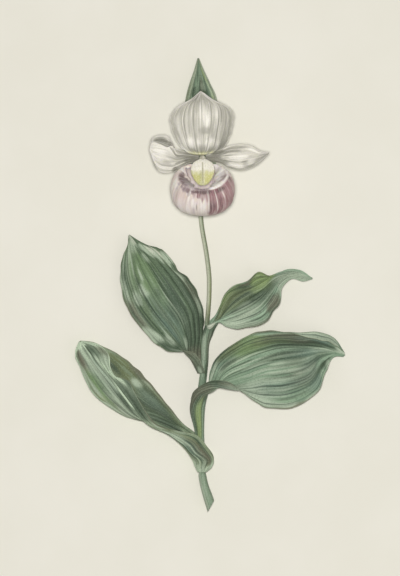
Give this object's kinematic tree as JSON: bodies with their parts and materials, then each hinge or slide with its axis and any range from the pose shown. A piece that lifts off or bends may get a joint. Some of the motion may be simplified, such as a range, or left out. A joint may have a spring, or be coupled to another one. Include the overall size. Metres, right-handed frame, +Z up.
{
  "type": "lady's slipper orchid stem",
  "caption": "Cut flowering stem of a lady's slipper orchid lying on its back, with pleated clasping leaves, a bract, a hooded sepal, spreading petals and a hollow pouch.",
  "frame": {"origin": "small flat spot under the clasping base of the lowest leaf, on the surface the stem lies on", "axes": "+Z up from the surface, out of the face of the flower; +Y along the stem from the cut end to the flower; +X to the right seen from above"},
  "size_m": [0.1751, 0.2947, 0.0542],
  "materials": {
    "stem": "downy green",
    "leaf": "satin green",
    "bract": "satin green",
    "sepal": "matt greyish white",
    "petal": "matt white",
    "pouch": "satin, rose on white",
    "column": "matt cream",
    "staminode": "matt cream and yellow"
  },
  "bodies": {
    "root": {"stem": "stem", "ovary": "stem", "leaf_1": "leaf", "leaf_2": "leaf", "leaf_3": "leaf", "leaf_4": "leaf", "floral_bract": "bract", "dorsal_sepal": "sepal", "synsepal": "sepal", "petal_left": "petal", "petal_right": "petal", "lip": "pouch", "column": "column", "staminode": "staminode"}
  },
  "joints": []
}
